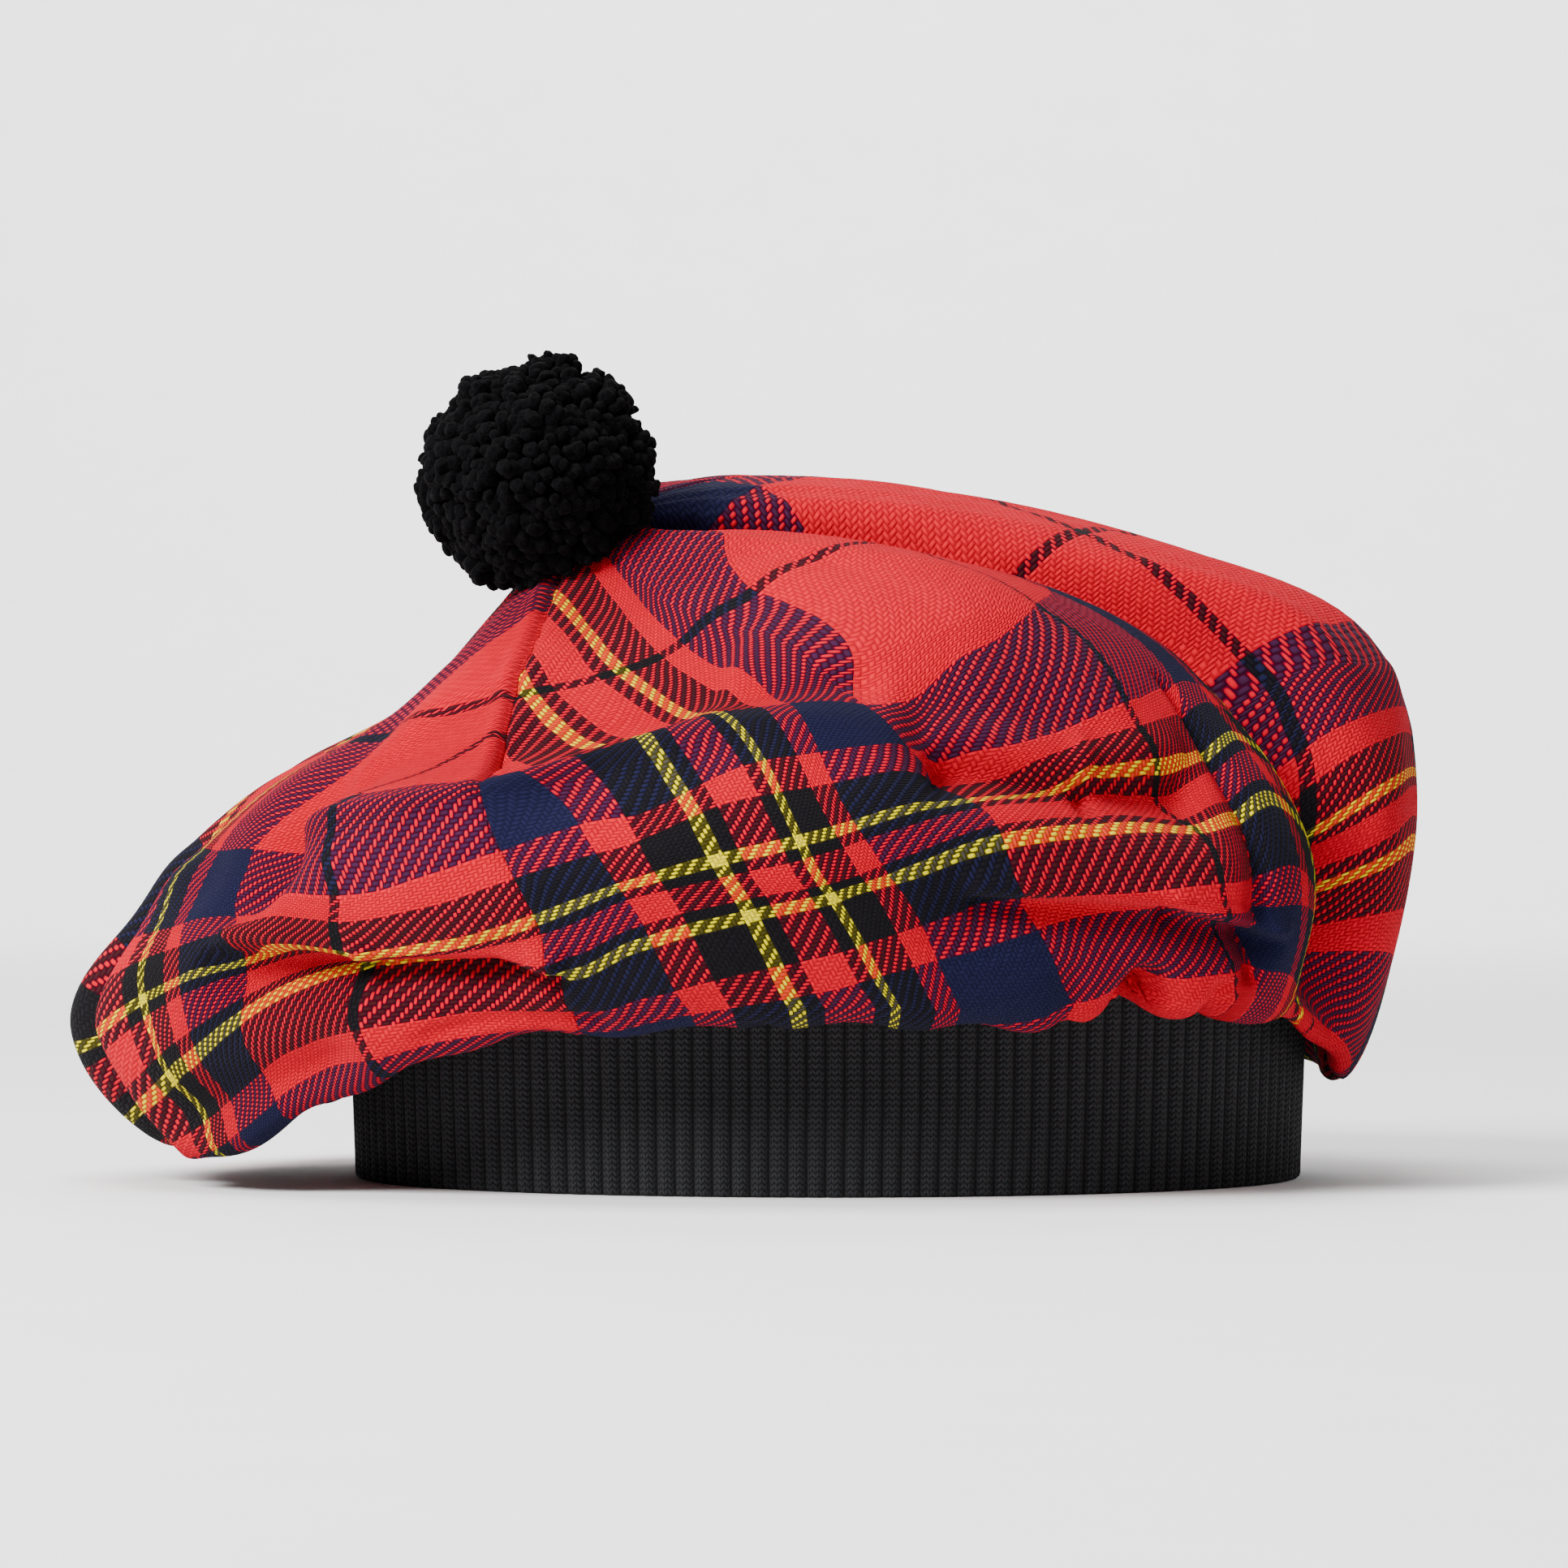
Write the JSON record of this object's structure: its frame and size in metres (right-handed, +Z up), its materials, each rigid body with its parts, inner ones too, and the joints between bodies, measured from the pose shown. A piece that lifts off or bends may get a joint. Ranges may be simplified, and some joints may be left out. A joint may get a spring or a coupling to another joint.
{
  "type": "tam o shanter",
  "caption": "Slouchy tartan cloth cap of sewn gores, gathered to a ribbed knit headband that is open for the head, with a yarn pompom on the crown.",
  "frame": {"origin": "middle of the headband's lower rim, on the plane that the hat stands on", "axes": "+Z up, -Y to the front of the hat, which faces the camera, +X to the right as seen from the front, along the hat's greatest width"},
  "size_m": [0.2786, 0.2552, 0.167],
  "materials": {
    "tartan_cloth": "soft twill-woven tartan in red, navy, black and yellow, slightly fuzzy",
    "rib_knit": "black rib knit, matte",
    "yarn": "black cut yarn, matte"
  },
  "bodies": {
    "root": {"crown_gore_front": "tartan_cloth", "crown_gore_right": "tartan_cloth", "crown_gore_back": "tartan_cloth", "crown_gore_left": "tartan_cloth", "headband": "rib_knit", "pompom": "yarn"}
  },
  "joints": []
}
